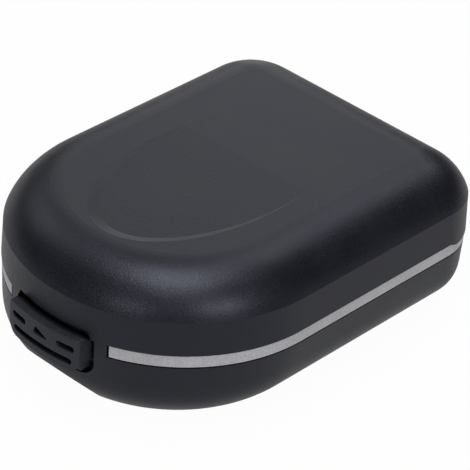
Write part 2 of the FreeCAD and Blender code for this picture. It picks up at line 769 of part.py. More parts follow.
def make_lid_shell():
    """Upper casing: rounded dome, crease, thumb recess, screw bosses and hinge webs."""
    outer = lid_outer()
    shell = cut("lid_shell_plain", outer, lid_core("lid_core", "dims.lid_wall"),
                finger_scoop(), thumb_recess(),
                *knuckle_reliefs("lid_relief", BASE_KNUCKLES))
    catch_top = f"({CATCH_PLATE} + dims.catch_plate)"
    posts = [rod(f"lid_post_{n}", "Z", "dims.boss_radius", PANEL_TOP,
                 f"{DOME_TOP} - dims.lid_wall / 2", x, y)
             for n, (x, y) in enumerate(PANEL_SCREWS)]
    posts += [rod(f"lid_catch_post_{n}", "Z", "dims.boss_radius", catch_top,
                  f"{DOME_TOP} - dims.lid_wall", x, y)
              for n, (x, y) in enumerate(CATCH_SCREWS)]
    bosses = common("lid_bosses", fuse("lid_posts", *posts),
                    cut("lid_boss_room", solid_outline("lid_boss_zone", CATCH_IN, "0", FAR),
                        box("lid_boss_top", -FAR, FAR, -FAR, FAR,
                            f"{DOME_TOP} - dims.recess_depth - dims.lid_wall / 4", FAR)))
    trimmed = common("lid_bosses_trimmed", bosses, outer)
    whole = fuse("lid_whole", shell, trimmed, *knuckles("lid_knuckle", LID_KNUCKLES, 1))
    pilot = "dims.screw_radius + dims.press_clearance"
    holes = [rod(f"lid_pilot_{n}", "Z", pilot, PANEL_TOP,
                 "dims.panel_height + dims.screw_head_height + dims.screw_length"
                 " + dims.pilot_spare", x, y)
             for n, (x, y) in enumerate(PANEL_SCREWS)]
    holes += [rod(f"lid_catch_pilot_{n}", "Z", pilot, CATCH_PLATE,
                  f"{CATCH_PLATE} + dims.screw_length + dims.pilot_spare", x, y)
              for n, (x, y) in enumerate(CATCH_SCREWS)]
    holes.append(rod("lid_hinge_bore", "X", "dims.hinge_pin_radius + dims.turn_clearance",
                     f"-{HINGE_HALF}", HINGE_HALF, HINGE_Y, HINGE_Z))
    return cut("lid_shell", whole, *holes)


def make_hinge_pin():
    end = f"({HINGE_HALF} - dims.knuckle_gap)"
    return rod("hinge_pin", "X", "dims.hinge_pin_radius", f"-{end}", end, HINGE_Y, HINGE_Z)


def latch_openings():
    """The long slot, the two short slots and the peak between them."""
    half_tall = "dims.slot_tall / 2"
    radius = "dims.slot_tall * 0.45"
    tools = [nose_prism("latch_long_slot", "dims.long_slot_half",
                        f"dims.long_slot_height - {half_tall}",
                        f"dims.long_slot_height + {half_tall}", radius, radius)]
    for side, sign in (("left", -1), ("right", 1)):
        body = new_body(f"latch_slot_{side}")
        sketch = rounded(body, f"latch_slot_{side}_outline", "dims.small_slot_half",
                         f"dims.small_slot_height - {half_tall}",
                         f"dims.small_slot_height + {half_tall}", radius, radius,
                         role="XZ_Plane", level=NEAR, shift=f"{sign} * dims.small_slot_x")
        pad(body, f"latch_slot_{side}_solid", sketch, FAR)
        tools.append(body)
    body = new_body("latch_peak")
    sketch = polygon(body, "latch_peak_outline", [
        ("-dims.peak_half", "dims.peak_low"),
        ("dims.peak_half", "dims.peak_low"),
        ("dims.peak_half", "dims.peak_low + dims.peak_right_rise"),
        ("-dims.peak_lean", "dims.peak_low + dims.peak_rise"),
        ("-dims.peak_half", "dims.peak_low + dims.peak_left_rise"),
    ], role="XZ_Plane", level=NEAR)
    pad(body, "latch_peak_solid", sketch, FAR)
    return tools + [body]


def make_latch_button():
    """Hollow push latch that follows the nose, with pivot ears and a hook into the lid."""
    band = ring("latch_band", "-dims.latch_proud", "(dims.latch_depth - dims.latch_proud)",
                "dims.latch_bottom", "dims.latch_top")
    block = common("latch_block", band,
                   nose_prism("latch_outline", "dims.latch_half", "dims.latch_bottom",
                              "dims.latch_top", "dims.latch_corner", "0.6"))
    behind = "(dims.latch_face - dims.latch_proud)"
    shelf = "(dims.latch_top - dims.latch_shelf_drop)"
    shoulder = ring("latch_shoulder", behind, "dims.latch_depth", shelf,
                    f"(dims.latch_top + {OVER})")
    hollow = common("latch_hollow",
                    ring("latch_hollow_band", behind, "dims.latch_depth", "0",
                         f"({shelf} - dims.latch_shelf)"),
                    nose_prism("latch_hollow_outline", "dims.latch_half - dims.latch_wall",
                               "dims.latch_bottom + dims.latch_wall", "dims.latch_top",
                               "dims.latch_corner - dims.latch_wall", "0.6"))
    shell = cut("latch_shell", block, shoulder, hollow)
    bridge_top = "dims.bridge_low + dims.bridge_thickness"
    inside = f"({FRONT} - dims.latch_proud + dims.latch_face / 2)"
    hook = side_prism("latch_hook", [
        (inside, "dims.bridge_low"),
        (HOOK_BACK, "dims.bridge_low"),
        (HOOK_BACK, HOOK_TOP),
        (HOOK_Y, HOOK_TOP),
        (f"{HOOK_Y} - dims.hook_reach", f"{HOOK_LOW} + dims.hook_nose / 3"),
        (f"{HOOK_Y} - dims.hook_reach", HOOK_LOW),
        (HOOK_Y, HOOK_LOW),
        (HOOK_Y, bridge_top),
        (inside, bridge_top),
    ], "dims.hook_half")
    ears = []
    outer = "(dims.latch_half - dims.ear_inset)"
    inner = f"({outer} - dims.ear_thickness)"
    for side, low, high in (("left", f"-{outer}", f"-{inner}"), ("right", inner, outer)):
        ears.append(rod(f"latch_ear_{side}", "X", "dims.ear_radius", low, high,
                        PIVOT_Y, "dims.pivot_height"))
        ears.append(box(f"latch_arm_{side}", low, high, FRONT, PIVOT_Y,
                        "dims.latch_bottom", "dims.pivot_height + dims.ear_radius"))
    whole = fuse("latch_whole", shell, hook, *ears)
    bore = rod("latch_bore", "X", "dims.pivot_radius + dims.turn_clearance",
               "-dims.latch_half", "dims.latch_half", PIVOT_Y, "dims.pivot_height")
    front = fuse("latch_front_openings", *latch_openings())
    skin = ring("latch_skin", f"(-dims.latch_proud - {OVER})",
                f"({behind} + dims.press_clearance)", "0", f"(dims.latch_top + {OVER})")
    return cut("latch_button", whole, bore, common("latch_cuts", front, skin))


def make_pivot_pin():
    end = f"({WINDOW_HALF} + dims.pivot_bite)"
    return rod("latch_pivot_pin", "X", "dims.pivot_radius", f"-{end}", end, PIVOT_Y,
               "dims.pivot_height")


def tangent_arc(start, corner, end):
    """The arc from start to end whose tangents at both meet at corner."""
    chord = (start + end) * 0.5
    half = (end - start).Length / 2
    lift = corner - chord
    turn = math.atan2(lift.Length, half)
    apex = chord + lift.normalize() * (half * math.tan(turn / 2))
    return Part.Arc(start, apex, end).toShape()


def quarter_turn(start, start_way, end, end_way):
    """Two arcs that meet smoothly, from start to end with the given directions."""
    span = end - start
    ways = start_way + end_way
    slack = 4 - ways.dot(ways)
    along = span.dot(ways)
    reach = (math.sqrt(along * along + slack * span.dot(span)) - along) / slack
    first = start + start_way * reach
    last = end - end_way * reach
    middle = (first + last) * 0.5
    return [tangent_arc(start, first, middle), tangent_arc(middle, last, end)]


def make_latch_spring():
    """A short compression spring between the latch's arm and the tray's bulkhead."""
    wire = num("dims.spring_wire") / 2
    radius = num("dims.spring_radius") - wire
    low = num(HOOK_BACK) + num("dims.hook_gap") + wire
    high = num(BULKHEAD_Y) - wire
    turns = int(num("dims.spring_turns"))
    pitch = (high - low) / turns
    level = num("dims.spring_height")

    def place(quarter):
        angle = quarter * math.pi / 2
        return FreeCAD.Vector(radius * math.cos(angle), low + pitch * quarter / 4,
                              level + radius * math.sin(angle))

    def way(quarter):
        angle = quarter * math.pi / 2
        step = FreeCAD.Vector(-radius * math.sin(angle), pitch / (2 * math.pi),
                              radius * math.cos(angle))
        return step.normalize()

    edges = []
    for quarter in range(4 * turns):
        edges += quarter_turn(place(quarter), way(quarter), place(quarter + 1),
                              way(quarter + 1))
    section = Part.Wire(Part.Circle(place(0), way(0), wire).toShape())
    item = doc.addObject("Part::Feature", "latch_spring")
    item.Shape = Part.Wire(edges).makePipeShell([section], True, False)
    print(f"latch spring: least gap between turns {pitch - 2 * wire:.2f} mm")
    return item


def make_lid_catch():
    """The bar inside the lid that the latch hooks over, on a plate with two legs."""
    front = f"({FRONT} + {CATCH_IN})"
    plate_top = f"{CATCH_PLATE} + dims.catch_plate"
    plate = middle_box("catch_plate_block", "dims.catch_half", front,
                       f"{front} + dims.catch_plate_depth", CATCH_PLATE, plate_top)
    bar = middle_box("catch_bar_block", "dims.catch_half", front, CATCH_BACK,
                     "dims.catch_low", "dims.catch_low + dims.catch_tall")
    legs = both_sides("catch_leg", "dims.hook_half + dims.hook_gap", "dims.catch_half",
                      front, CATCH_BACK, "dims.catch_low", plate_top)
    whole = common("catch_whole", fuse("catch_blocks", plate, bar, *legs),
                   lid_core("catch_room", CATCH_IN))
    holes = [rod(f"catch_hole_{n}", "Z", "dims.screw_radius + dims.screw_room", "0", FAR,
                 x, y) for n, (x, y) in enumerate(CATCH_SCREWS)]
    return cut("lid_catch", whole, *holes)


def tray_cutouts():
    """Everything that is taken out of the tray."""
    tools = [middle_box("tray_latch_bay", f"{WINDOW_HALF} + dims.tray_wall / 2", -FAR,
                        BULKHEAD_Y, 0, FAR)]
    for side, sign in (("left", -1), ("right", 1)):
        tools.append(capsule(f"tray_well_{side}", "0", "dims.well_floor",
                             f"{TRAY_TOP} + {OVER}", f"{sign} * dims.well_x",
                             "dims.well_round"))
    y = CAPSULE_Y
    lug_top = f"{SKIRT_LOW} + dims.lug_height + dims.slide_gap"
    reach = "(dims.cup_radius - dims.cap_gap + dims.lug_reach + dims.slide_gap)"
    tools += [
        rod("tray_cup", "Z", "dims.cup_radius", "dims.cup_floor", f"{TRAY_TOP} + {OVER}",
            "0", y),
        rod("tray_cup_seat", "Z", "dims.cap_flange + dims.slide_gap", CAP_LOW,
            f"{TRAY_TOP} + {OVER}", "0", y),
        rod("tray_lug_groove", "Z", reach, f"{SKIRT_LOW} - dims.slide_gap", lug_top, "0", y),
        box("tray_lug_entry", "-dims.lug_half - dims.slide_gap",
            "dims.lug_half + dims.slide_gap", f"{y} - {reach}", f"{y} + {reach}",
            SKIRT_LOW, TRAY_TOP),
    ]
    low_y = f"({BATTERY_Y} - dims.slide_half)"
    high_y = f"({BATTERY_Y} + dims.slide_half)"
    tools += [
        box("tray_slide", "dims.slide_left", "dims.slide_right", low_y, high_y, SLIDE_FLOOR,
            f"{SLIDE_FLOOR} + dims.slide_plate"),
        box("tray_slide_mouth", "dims.slide_left", "dims.slide_right",
            f"{low_y} + dims.slide_lip", f"{high_y} - dims.slide_lip", SLIDE_FLOOR, FAR),
    ]
    for number in range(2):
        tools.append(rod(f"tray_pocket_{number}", "Z", "dims.battery_radius",
                         f"{SLIDE_FLOOR} - dims.battery_depth", TRAY_TOP,
                         f"dims.battery_x + {number} * dims.battery_pitch",
                         BATTERY_Y))
    for number, (x, y) in enumerate(TRAY_SCREWS):
        tools.append(rod(f"tray_hole_{number}", "Z", "dims.screw_radius + dims.screw_room",
                         "0", FAR, x, y))
        tools.append(rod(f"tray_head_{number}", "Z",
                         "dims.screw_head_radius + dims.screw_room", TRAY_SEAT, FAR, x, y))
    return tools


def make_inner_tray():
    """Moulded tray: a plate on the ledge, two wells, a cup, cell pockets and a bulkhead."""
    plate = solid_outline("tray_plate", f"({LIP_IN} + dims.tray_gap)", "dims.rim_height",
                          TRAY_TOP)
    solids = [plate]
    for side, sign in (("left", -1), ("right", 1)):
        solids.append(capsule(f"tray_tub_{side}", "(-dims.tray_wall)",
                              "(dims.well_floor - dims.tray_wall)", TRAY_TOP,
                              f"{sign} * dims.well_x", "dims.well_round + dims.tray_wall"))
    solids.append(rod("tray_cup_wall", "Z", "dims.cup_radius + dims.tray_wall",
                      "dims.cup_floor - dims.tray_wall", TRAY_TOP, "0", CAPSULE_Y))
    low_y = f"({BATTERY_Y} - dims.slide_half - dims.tray_wall)"
    high_y = f"({BATTERY_Y} + dims.slide_half + dims.tray_wall)"
    solids.append(box("tray_slide_block", "dims.slide_left - dims.tray_wall",
                      "dims.slide_right + dims.tray_wall", low_y, high_y,
                      f"{SLIDE_FLOOR} - dims.tray_wall", TRAY_TOP))
    pocket_reach = "(dims.battery_radius + dims.tray_wall)"
    solids.append(box("tray_pocket_block", f"dims.battery_x - {pocket_reach}",
                      f"dims.battery_x + dims.battery_pitch + {pocket_reach}",
                      f"{BATTERY_Y} - {pocket_reach}", f"{BATTERY_Y} + {pocket_reach}",
                      f"{SLIDE_FLOOR} - dims.battery_depth - dims.tray_wall", TRAY_TOP))
    solids += [rod(f"tray_boss_{n}", "Z", "dims.screw_head_radius + dims.tray_wall",
                   TRAY_BOSS, TRAY_TOP, x, y) for n, (x, y) in enumerate(TRAY_SCREWS)]
    block = cut("tray_block", fuse("tray_solids", *solids), *tray_cutouts())
    bulkhead = middle_box("tray_bulkhead", "dims.bulkhead_half", BULKHEAD_Y,
                          f"{BULKHEAD_Y} + dims.bulkhead_thickness", "dims.bulkhead_low",
                          TRAY_TOP)
    return fuse("inner_tray", block, bulkhead)


def make_aid_liners():
    """Soft cups that line the two wells."""
    pieces = []
    top = f"{TRAY_TOP} - dims.liner_drop"
    inside = "(dims.liner_gap + dims.liner_thickness)"
    for side, sign in (("left", -1), ("right", 1)):
        name = f"aid_liner_{side}"
        x = f"{sign} * dims.well_x"
        outer = capsule(f"{name}_outer", "dims.liner_gap", "dims.well_floor", top, x,
                        "dims.well_round + dims.liner_gap")
        inner = capsule(f"{name}_inner", inside, "(dims.well_floor + dims.liner_thickness)",
                        FAR, x, "dims.well_round - dims.liner_thickness / 2")
        pieces.append(cut(name, outer, inner))
    return pieces


def make_battery_cover():
    """Sliding cover over the cell pockets, with ridges for a fingertip."""
    right = "(dims.slide_right - dims.slide_gap)"
    left = f"({right} - dims.cover_length)"
    half = "(dims.slide_half - dims.slide_gap)"
    narrow = f"({half} - dims.slide_lip)"
    low = f"({SLIDE_FLOOR} + dims.slide_gap)"
    middle = f"({SLIDE_FLOOR} + dims.slide_plate - dims.slide_gap)"
    top = f"({TRAY_TOP} - dims.slide_gap)"
    y = BATTERY_Y
    pieces = [
        box("cover_plate", left, right, f"{y} - {half}", f"{y} + {half}", low, middle),
        box("cover_top", left, right, f"{y} - {narrow}", f"{y} + {narrow}", low, top),
    ]
    for number in range(5):
        start = f"({left} + {number + 2} * dims.slide_lip * 1.5)"
        pieces.append(box(f"cover_ridge_{number}", start, f"{start} + dims.slide_lip * 0.6",
                          f"{y} - {narrow} / 2", f"{y} + {narrow} / 2", middle,
                          f"{top} + dims.cover_ridge"))
    return fuse("battery_cover", *pieces)


def make_drying_capsule():
    """A sealed disc of drying agent at the bottom of the cup."""
    plain = rod("capsule_plain", "Z", "dims.capsule_radius", "dims.cup_floor",
                "dims.cup_floor + dims.capsule_height", "0", CAPSULE_Y)
    doc.recompute()
    item = doc.addObject("Part::Fillet", "drying_capsule")
    item.Base = plain
    radius = num("dims.capsule_round")
    rims = [i + 1 for i, e in enumerate(plain.Shape.Edges) if len(e.Vertexes) == 1]
    item.Edges = [(number, radius, radius) for number in rims]
    return item


def make_capsule_cap():
    """Perforated cap with two lugs, which turns to lock in the tray's cup."""
    y = CAPSULE_Y
    flange = rod("cap_flange_disc", "Z", "dims.cap_flange", CAP_LOW, CAP_TOP, "0", y)
    skirt = rod("cap_skirt", "Z", SKIRT_RADIUS, SKIRT_LOW, CAP_LOW, "0", y)
    lugs = []
    for number, angle in enumerate((30, 210)):
        lug = box(f"cap_lug_{number}", "0",
                  f"{SKIRT_RADIUS} + dims.lug_reach - dims.slide_gap",
                  "0", "dims.lug_half * 2", SKIRT_LOW, f"{SKIRT_LOW} + dims.lug_height")
        lug.Placement.Rotation = FreeCAD.Rotation(FreeCAD.Vector(0, 0, 1), angle)
        offset = f"dims.lug_half * sin({angle} * 1deg)"
        lugs.append(bind(lug, Placement__Base__x=offset,
                         Placement__Base__y=f"{y} - dims.lug_half * cos({angle} * 1deg)"))
    whole = fuse("cap_whole", flange, skirt, *lugs)
    bore = rod("cap_bore", "Z", f"{SKIRT_RADIUS} - dims.cap_skirt_wall", 0, CAP_LOW, "0", y)
    holes = []
    for row, count in enumerate((1, 6, 12)):
        for number in range(count):
            turn = f"{360 * number / count} * 1deg"
            holes.append(rod(f"cap_hole_{row}_{number}", "Z", "dims.cap_hole", 0, FAR,
                             f"{row} * dims.cap_hole_pitch * cos({turn})",
                             f"{y} + {row} * dims.cap_hole_pitch * sin({turn})"))
    return cut("capsule_cap", whole, bore, *holes)


def make_lid_panel():
    """The panel that closes the inside of the lid."""
    plate = solid_outline("panel_plate", "dims.lid_wall + dims.panel_gap",
                          "dims.panel_height", PANEL_TOP)
    tools = [middle_box("panel_notch", "dims.panel_notch_half", -FAR,
                        f"{FRONT} + dims.panel_notch_depth", 0, FAR)]
    seat = "dims.panel_height + dims.screw_head_height"
    for number, (x, y) in enumerate(PANEL_SCREWS):
        tools.append(rod(f"panel_hole_{number}", "Z", "dims.screw_radius + dims.screw_room",
                         0, FAR, x, y))
        tools.append(rod(f"panel_head_{number}", "Z",
                         "dims.screw_head_radius + dims.screw_room", 0, seat, x, y))
    return cut("lid_panel", plate, *tools)


def make_lid_pad():
    """Foam pad that presses the aids down when the lid is shut."""
    body = new_body("lid_pad")
    low = "(dims.panel_height - dims.pad_thickness)"
    block = pad(body, "lid_pad_block", rim_outline(body, "lid_pad_edge", "dims.pad_inset", low),
                "dims.pad_thickness")
    fillet_level(body, "lid_pad_round", block, low, "dims.pad_round")
    return body


def make_screws():
    """The three groups of screws: tray, catch and lid panel."""
    seat = "dims.panel_height + dims.screw_head_height"
    return [
        screws("tray_screws", [(x, y, TRAY_SEAT) for x, y in TRAY_SCREWS], -1),
        screws("lid_catch_screws", [(x, y, CATCH_PLATE) for x, y in CATCH_SCREWS], 1),
        screws("lid_panel_screws", [(x, y, seat) for x, y in PANEL_SCREWS], 1),
    ]


pieces = [
    make_base_shell(), *make_trim_strips(), make_lid_shell(), make_hinge_pin(),
    make_latch_button(), make_pivot_pin(), make_latch_spring(), make_lid_catch(),
    make_inner_tray(), *make_aid_liners(), make_battery_cover(), make_drying_capsule(),
    make_capsule_cap(), make_lid_panel(), make_lid_pad(), *make_screws(),
]
doc.recompute()

for item in doc.Objects:
    if "Invalid" in item.State or "Error" in item.State:
        raise RuntimeError(f"{item.Label} failed: {item.State}")
for piece in pieces:
    if piece.Shape.isNull() or not piece.Shape.isValid():
        raise RuntimeError(f"{piece.Label} has no valid shape")

os.makedirs("parts", exist_ok=True)
for piece in pieces:
    piece.Shape.exportStep(f"parts/{piece.Label}.step")
    size = piece.Shape.BoundBox
    print(f"{piece.Label}: {len(piece.Shape.Solids)} solids, {piece.Shape.Volume:.0f} mm3, "
          f"x {size.XMin:.2f} {size.XMax:.2f}, y {size.YMin:.2f} {size.YMax:.2f}, "
          f"z {size.ZMin:.2f} {size.ZMax:.2f}")
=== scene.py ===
import bmesh
import bpy
import json
import math
from mathutils import Matrix, Vector


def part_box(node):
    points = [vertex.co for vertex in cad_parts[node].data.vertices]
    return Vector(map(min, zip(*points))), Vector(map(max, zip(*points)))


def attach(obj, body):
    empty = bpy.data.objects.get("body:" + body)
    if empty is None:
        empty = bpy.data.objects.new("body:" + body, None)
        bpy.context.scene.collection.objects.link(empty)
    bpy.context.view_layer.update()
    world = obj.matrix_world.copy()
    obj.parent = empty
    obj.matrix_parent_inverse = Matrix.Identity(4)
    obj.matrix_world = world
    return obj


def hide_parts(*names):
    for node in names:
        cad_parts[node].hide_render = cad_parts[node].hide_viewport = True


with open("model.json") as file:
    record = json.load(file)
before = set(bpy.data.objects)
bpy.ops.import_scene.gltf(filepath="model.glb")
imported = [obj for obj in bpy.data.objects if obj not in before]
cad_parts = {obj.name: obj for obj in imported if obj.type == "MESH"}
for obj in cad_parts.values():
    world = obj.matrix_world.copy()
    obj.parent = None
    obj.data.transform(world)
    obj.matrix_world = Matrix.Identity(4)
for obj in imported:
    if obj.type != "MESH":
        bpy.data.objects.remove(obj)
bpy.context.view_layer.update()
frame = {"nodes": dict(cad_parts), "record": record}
MM = 0.001

# Camera: where it stands round the case and how it is turned, in degrees and metres
CAMERA_AZIMUTH = 42.354
CAMERA_ELEVATION = 34.102
CAMERA_DISTANCE = 0.55715
CAMERA_AIM = Vector((0, 0, 0.015))
CAMERA_ROLL = 3.953
CAMERA_PAN = -0.4768
CAMERA_TILT = -0.1487
CAMERA_NEAREST = 0.01
CAMERA_FARTHEST = 20
CAMERA_LENS = 214.9      # in mm, as the sensor
CAMERA_SENSOR = 36.0

# Lamps: square, soft and all at one distance
LAMP_DISTANCE = 1.2
LAMPS = (
    # name, azimuth and elevation in degrees, size in metres, power in watts
    ("overhead", 0, 88, 0.6, 5.3),
    ("back", 190, 50, 0.6, 2.0),
    ("back_left", 225, 28, 0.6, 1.05),
    ("back_low", 222, 5, 0.3, 0.35),
    ("left", 270, 38, 0.6, 1.3),
    ("front_high", 44, 70, 0.5, 3.0),
    ("front_right", 74, 31, 0.2, 3.1),
    ("front_left", 14, 26, 0.3, 1.5),
)

# Surroundings
WORLD_STRENGTH = 0.05
FLOOR_HALF = 3.0
FLOOR_GREY = 0.8
FLOOR_ROUGHNESS = 0.9
FLOOR_GLOW = 0.97        # share of glow, not shading, in what the camera and reflections see
FLOOR_IN_GLOSS = 0.55    # how bright the glow is in reflections, where the camera sees 1

# Grain and patches that every surface shares
NOISE_LOW = 0.35         # the range that the values of a noise mostly keep to
NOISE_HIGH = 0.65
SPECK_DETAIL = 2.0
SPECK_ROUGHNESS = 0.7
SPECK_COLOUR = 0.6       # share of the step from dark to light that the grain makes
SPECK_GLOSS = 0.04       # how far the grain moves the roughness, each way
PATCH_SIZE = 12 * MM
PATCH_DETAIL = 4.0
PATCH_ROUGHNESS = 0.55
PATCH_COLOUR = 0.4
PATCH_GLOSS_LOW = -0.02
PATCH_GLOSS_HIGH = 0.03
BEVEL_SAMPLES = 8

NEUTRAL = (1.0, 1.0, 1.0)
COOL = (0.79, 0.82, 1.0)
SURFACES = {
    # slot: darkest and palest colour, roughness, size and depth of the grain in mm
    "base_plastic": ("#121215", "#1b1c22", 0.38, 0.38, 0.03),
    "lid_plastic": ("#121216", "#1c1d26", 0.38, 0.38, 0.05),
    "latch_plastic": ("#1e1f23", "#2a2b31", 0.46, 0.38, 0.03),
    "trim_silver": ("#b4b4b8", "#d8d8dc", 0.42, 0.4, 0.02),
    "catch_plastic": ("#1a1b1d", "#25262a", 0.45, 0.3, 0.04),
    "tray_plastic": ("#232428", "#303136", 0.5, 0.3, 0.05),
    "cover_plastic": ("#3c3e43", "#4a4c52", 0.32, 0.4, 0.02),
    "capsule_plastic": ("#c9c6bd", "#e2e0d8", 0.45, 0.5, 0.03),
    "liner_rubber": ("#17181a", "#202124", 0.62, 0.4, 0.03),
    "pad_foam": ("#101012", "#202126", 0.92, 0.5, 0.16),
    "pin_steel": ("#a5a8ac", "#c0c2c6", 0.28, 0.2, 0.01),
    "screw_steel": ("#85888d", "#a2a5aa", 0.32, 0.2, 0.01),
}
EXTRAS = {
    # slot: what sets it apart from plain plastic, where edge is a radius in mm
    "base_plastic": {"tint": COOL},
    "lid_plastic": {"tint": COOL},
    "latch_plastic": {"tint": COOL, "edge": 0.3},
    "trim_silver": {"metallic": 0.5, "edge": 0.2},
    "liner_rubber": {"edge": 0.1, "sheen": 0.15},
    "pad_foam": {"specular": 0.3, "edge": 0.1, "sheen": 0.35},
    "pin_steel": {"metallic": 1.0},
    "screw_steel": {"metallic": 1.0},
}

# Soft pieces, which are built of closed rings of points
ROUND_POINTS = 120       # points in a ring
CORNER_STEPS = 12
EDGE_STEPS = 6
LIP_STEPS = 6
SKIN = 0.04 * MM         # how far the rings stay inside the node's box
LINER_WALL = 1.0 * MM
LINER_ROUND = 2.6 * MM   # round edge of the foot
LINER_CORE = 7.2 * MM    # inset of the smallest ring of the floor
LINER_FLAT = 0.45 * MM   # half of what is straight across each end
PAD_ROUND = 1.2 * MM     # round edge of the face
PAD_CORNER = 3.25 * MM   # radius of the corners at the hinge
PAD_FLAT = 0.5 * MM      # half of what is straight across the nose
PAD_LEAST = 0.5 * MM     # least radius of a corner
PAD_BACK = (
    # inset and distance from the back face in mm, from the middle out to the edge
    (20.0, 0.0), (4.0, 0.0), (0.3, 0.0), (0.02, 0.2),
)
PAD_FACE = (
    # inset and height over the rim of the face in mm: a channel, then a crown below the rim
    (2.6, 0.0), (3.1, 0.25), (3.6, 0.75), (4.1, 0.75), (4.6, 0.25),
    (5.2, -0.02), (7.0, -0.08), (10.0, -0.13), (14.0, -0.17), (20.0, -0.2),
)


def facing(azimuth, elevation):
    """The direction from the case towards something round it."""
    a, e = math.radians(azimuth), math.radians(elevation)
    return Vector((math.sin(a) * math.cos(e), -math.cos(a) * math.cos(e), math.sin(e)))


def link(name, data):
    """A new object in the scene."""
    item = bpy.data.objects.new(name, data)
    bpy.context.scene.collection.objects.link(item)
    return item


def make_camera():
    camera = link("camera", bpy.data.cameras.new("camera"))
    back = facing(CAMERA_AZIMUTH + CAMERA_PAN, CAMERA_ELEVATION + CAMERA_TILT)
    right = (-back).cross(Vector((0, 0, 1))).normalized()
    up = right.cross(-back)
    roll = math.radians(CAMERA_ROLL)
    across = right * math.cos(roll) + up * math.sin(roll)
    upward = up * math.cos(roll) - right * math.sin(roll)
    turn = Matrix((across, upward, back)).transposed()
    place = CAMERA_AIM + facing(CAMERA_AZIMUTH, CAMERA_ELEVATION) * CAMERA_DISTANCE
    camera.matrix_world = Matrix.Translation(place) @ turn.to_4x4()
    camera.data.lens = CAMERA_LENS
    camera.data.sensor_width = CAMERA_SENSOR
    camera.data.clip_start = CAMERA_NEAREST
    camera.data.clip_end = CAMERA_FARTHEST
    bpy.context.scene.camera = camera


def make_lamp(name, azimuth, elevation, size, power):
    """A square soft lamp that faces the case."""
    lamp = bpy.data.lights.new(name, "AREA")
    lamp.size = size
    lamp.energy = power
    item = link(name, lamp)
    back = facing(azimuth, elevation)
    item.location = CAMERA_AIM + back * LAMP_DISTANCE
    item.rotation_mode = "QUATERNION"
    item.rotation_quaternion = back.to_track_quat("Z", "Y")


def srgb(code):
    """A colour written as a hex code, as linear red, green and blue with alpha 1."""
    parts = [int(code[i:i + 2], 16) / 255 for i in (1, 3, 5)]
    return (*[v / 12.92 if v <= 0.04045 else ((v + 0.055) / 1.055) ** 2.4 for v in parts], 1)


def adjust(node, **settings):
    """Sets a node's properties, and its inputs by their names with _ for each space."""
    for key, value in settings.items():
        if hasattr(node, key):
            setattr(node, key, value)
        else:
            node.inputs[key.replace("_", " ")].default_value = value


def add(made, kind, **settings):
    """A new node of a material."""
    node = made.node_tree.nodes.new(kind)
    adjust(node, **settings)
    return node


def wire(made, source, target):
    made.node_tree.links.new(source, target)


def new_material(name, **settings):
    """An empty material, its output and a shader that isn't wired yet."""
    made = bpy.data.materials.new(name)
    made.use_nodes = True
    made.node_tree.nodes.clear()
    output = add(made, "ShaderNodeOutputMaterial")
    shader = add(made, "ShaderNodeBsdfPrincipled", **settings)
    return made, output.inputs["Surface"], shader


def combine(made, operation, first, second):
    """What a math node makes of two outputs."""
    node = add(made, "ShaderNodeMath", operation=operation)
    wire(made, first, node.inputs[0])
    wire(made, second, node.inputs[1])
    return node.outputs[0]


def noise(made, coords, size, detail, roughness):
    """Noise with features about size metres across."""
    node = add(made, "ShaderNodeTexNoise", Scale=1 / size, Detail=detail, Roughness=roughness)
    wire(made, coords, node.inputs["Vector"])
    return node.outputs["Fac"]


def mapped(made, value, low, high):
    """The noise value brought to the range from low to high."""
    node = add(made, "ShaderNodeMapRange", From_Min=NOISE_LOW, From_Max=NOISE_HIGH,
               To_Min=low, To_Max=high)
    wire(made, value, node.inputs["Value"])
    return node.outputs["Result"]


def make_surface(name, dark, light, roughness, grain, depth, metallic=0.0, tint=NEUTRAL,
                 specular=0.5, edge=0.0, sheen=0.0):
    """A moulded or coated surface: patchy colour and gloss over a fine grain."""
    made, surface, shader = new_material(
        name, Metallic=metallic, Specular_IOR_Level=specular, Specular_Tint=(*tint, 1),
        Sheen_Weight=sheen)
    wire(made, shader.outputs["BSDF"], surface)
    coords = add(made, "ShaderNodeTexCoord").outputs["Object"]
    patches = noise(made, coords, PATCH_SIZE, PATCH_DETAIL, PATCH_ROUGHNESS)
    specks = noise(made, coords, grain * MM, SPECK_DETAIL, SPECK_ROUGHNESS)

    share = combine(made, "ADD", mapped(made, specks, 0, SPECK_COLOUR),
                    mapped(made, patches, 0, PATCH_COLOUR))
    blend = add(made, "ShaderNodeMix", data_type="RGBA", A=srgb(dark), B=srgb(light))
    wire(made, share, blend.inputs["Factor"])
    wire(made, blend.outputs["Result"], shader.inputs["Base Color"])

    specks_gloss = mapped(made, specks, roughness - SPECK_GLOSS, roughness + SPECK_GLOSS)
    patches_gloss = mapped(made, patches, PATCH_GLOSS_LOW, PATCH_GLOSS_HIGH)
    gloss = combine(made, "ADD", specks_gloss, patches_gloss)
    wire(made, gloss, shader.inputs["Roughness"])

    bump = add(made, "ShaderNodeBump", Strength=1.0, Distance=depth * MM)
    wire(made, specks, bump.inputs["Height"])
    if edge:
        soft_edge = add(made, "ShaderNodeBevel", samples=BEVEL_SAMPLES, Radius=edge * MM)
        wire(made, soft_edge.outputs["Normal"], bump.inputs["Normal"])
    wire(made, bump.outputs["Normal"], shader.inputs["Normal"])
    return made


def make_materials():
    """The material of each slot."""
    return {slot: make_surface(slot, *row, **EXTRAS.get(slot, {}))
            for slot, row in SURFACES.items()}


def dress_nodes(materials):
    """Gives each piece of the frame the material of its slot."""
    for entry in frame["record"]["subparts"]:
        item = frame["nodes"][entry["node"]]
        item.data.materials.clear()
        item.data.materials.append(materials[entry["material_slot"]])


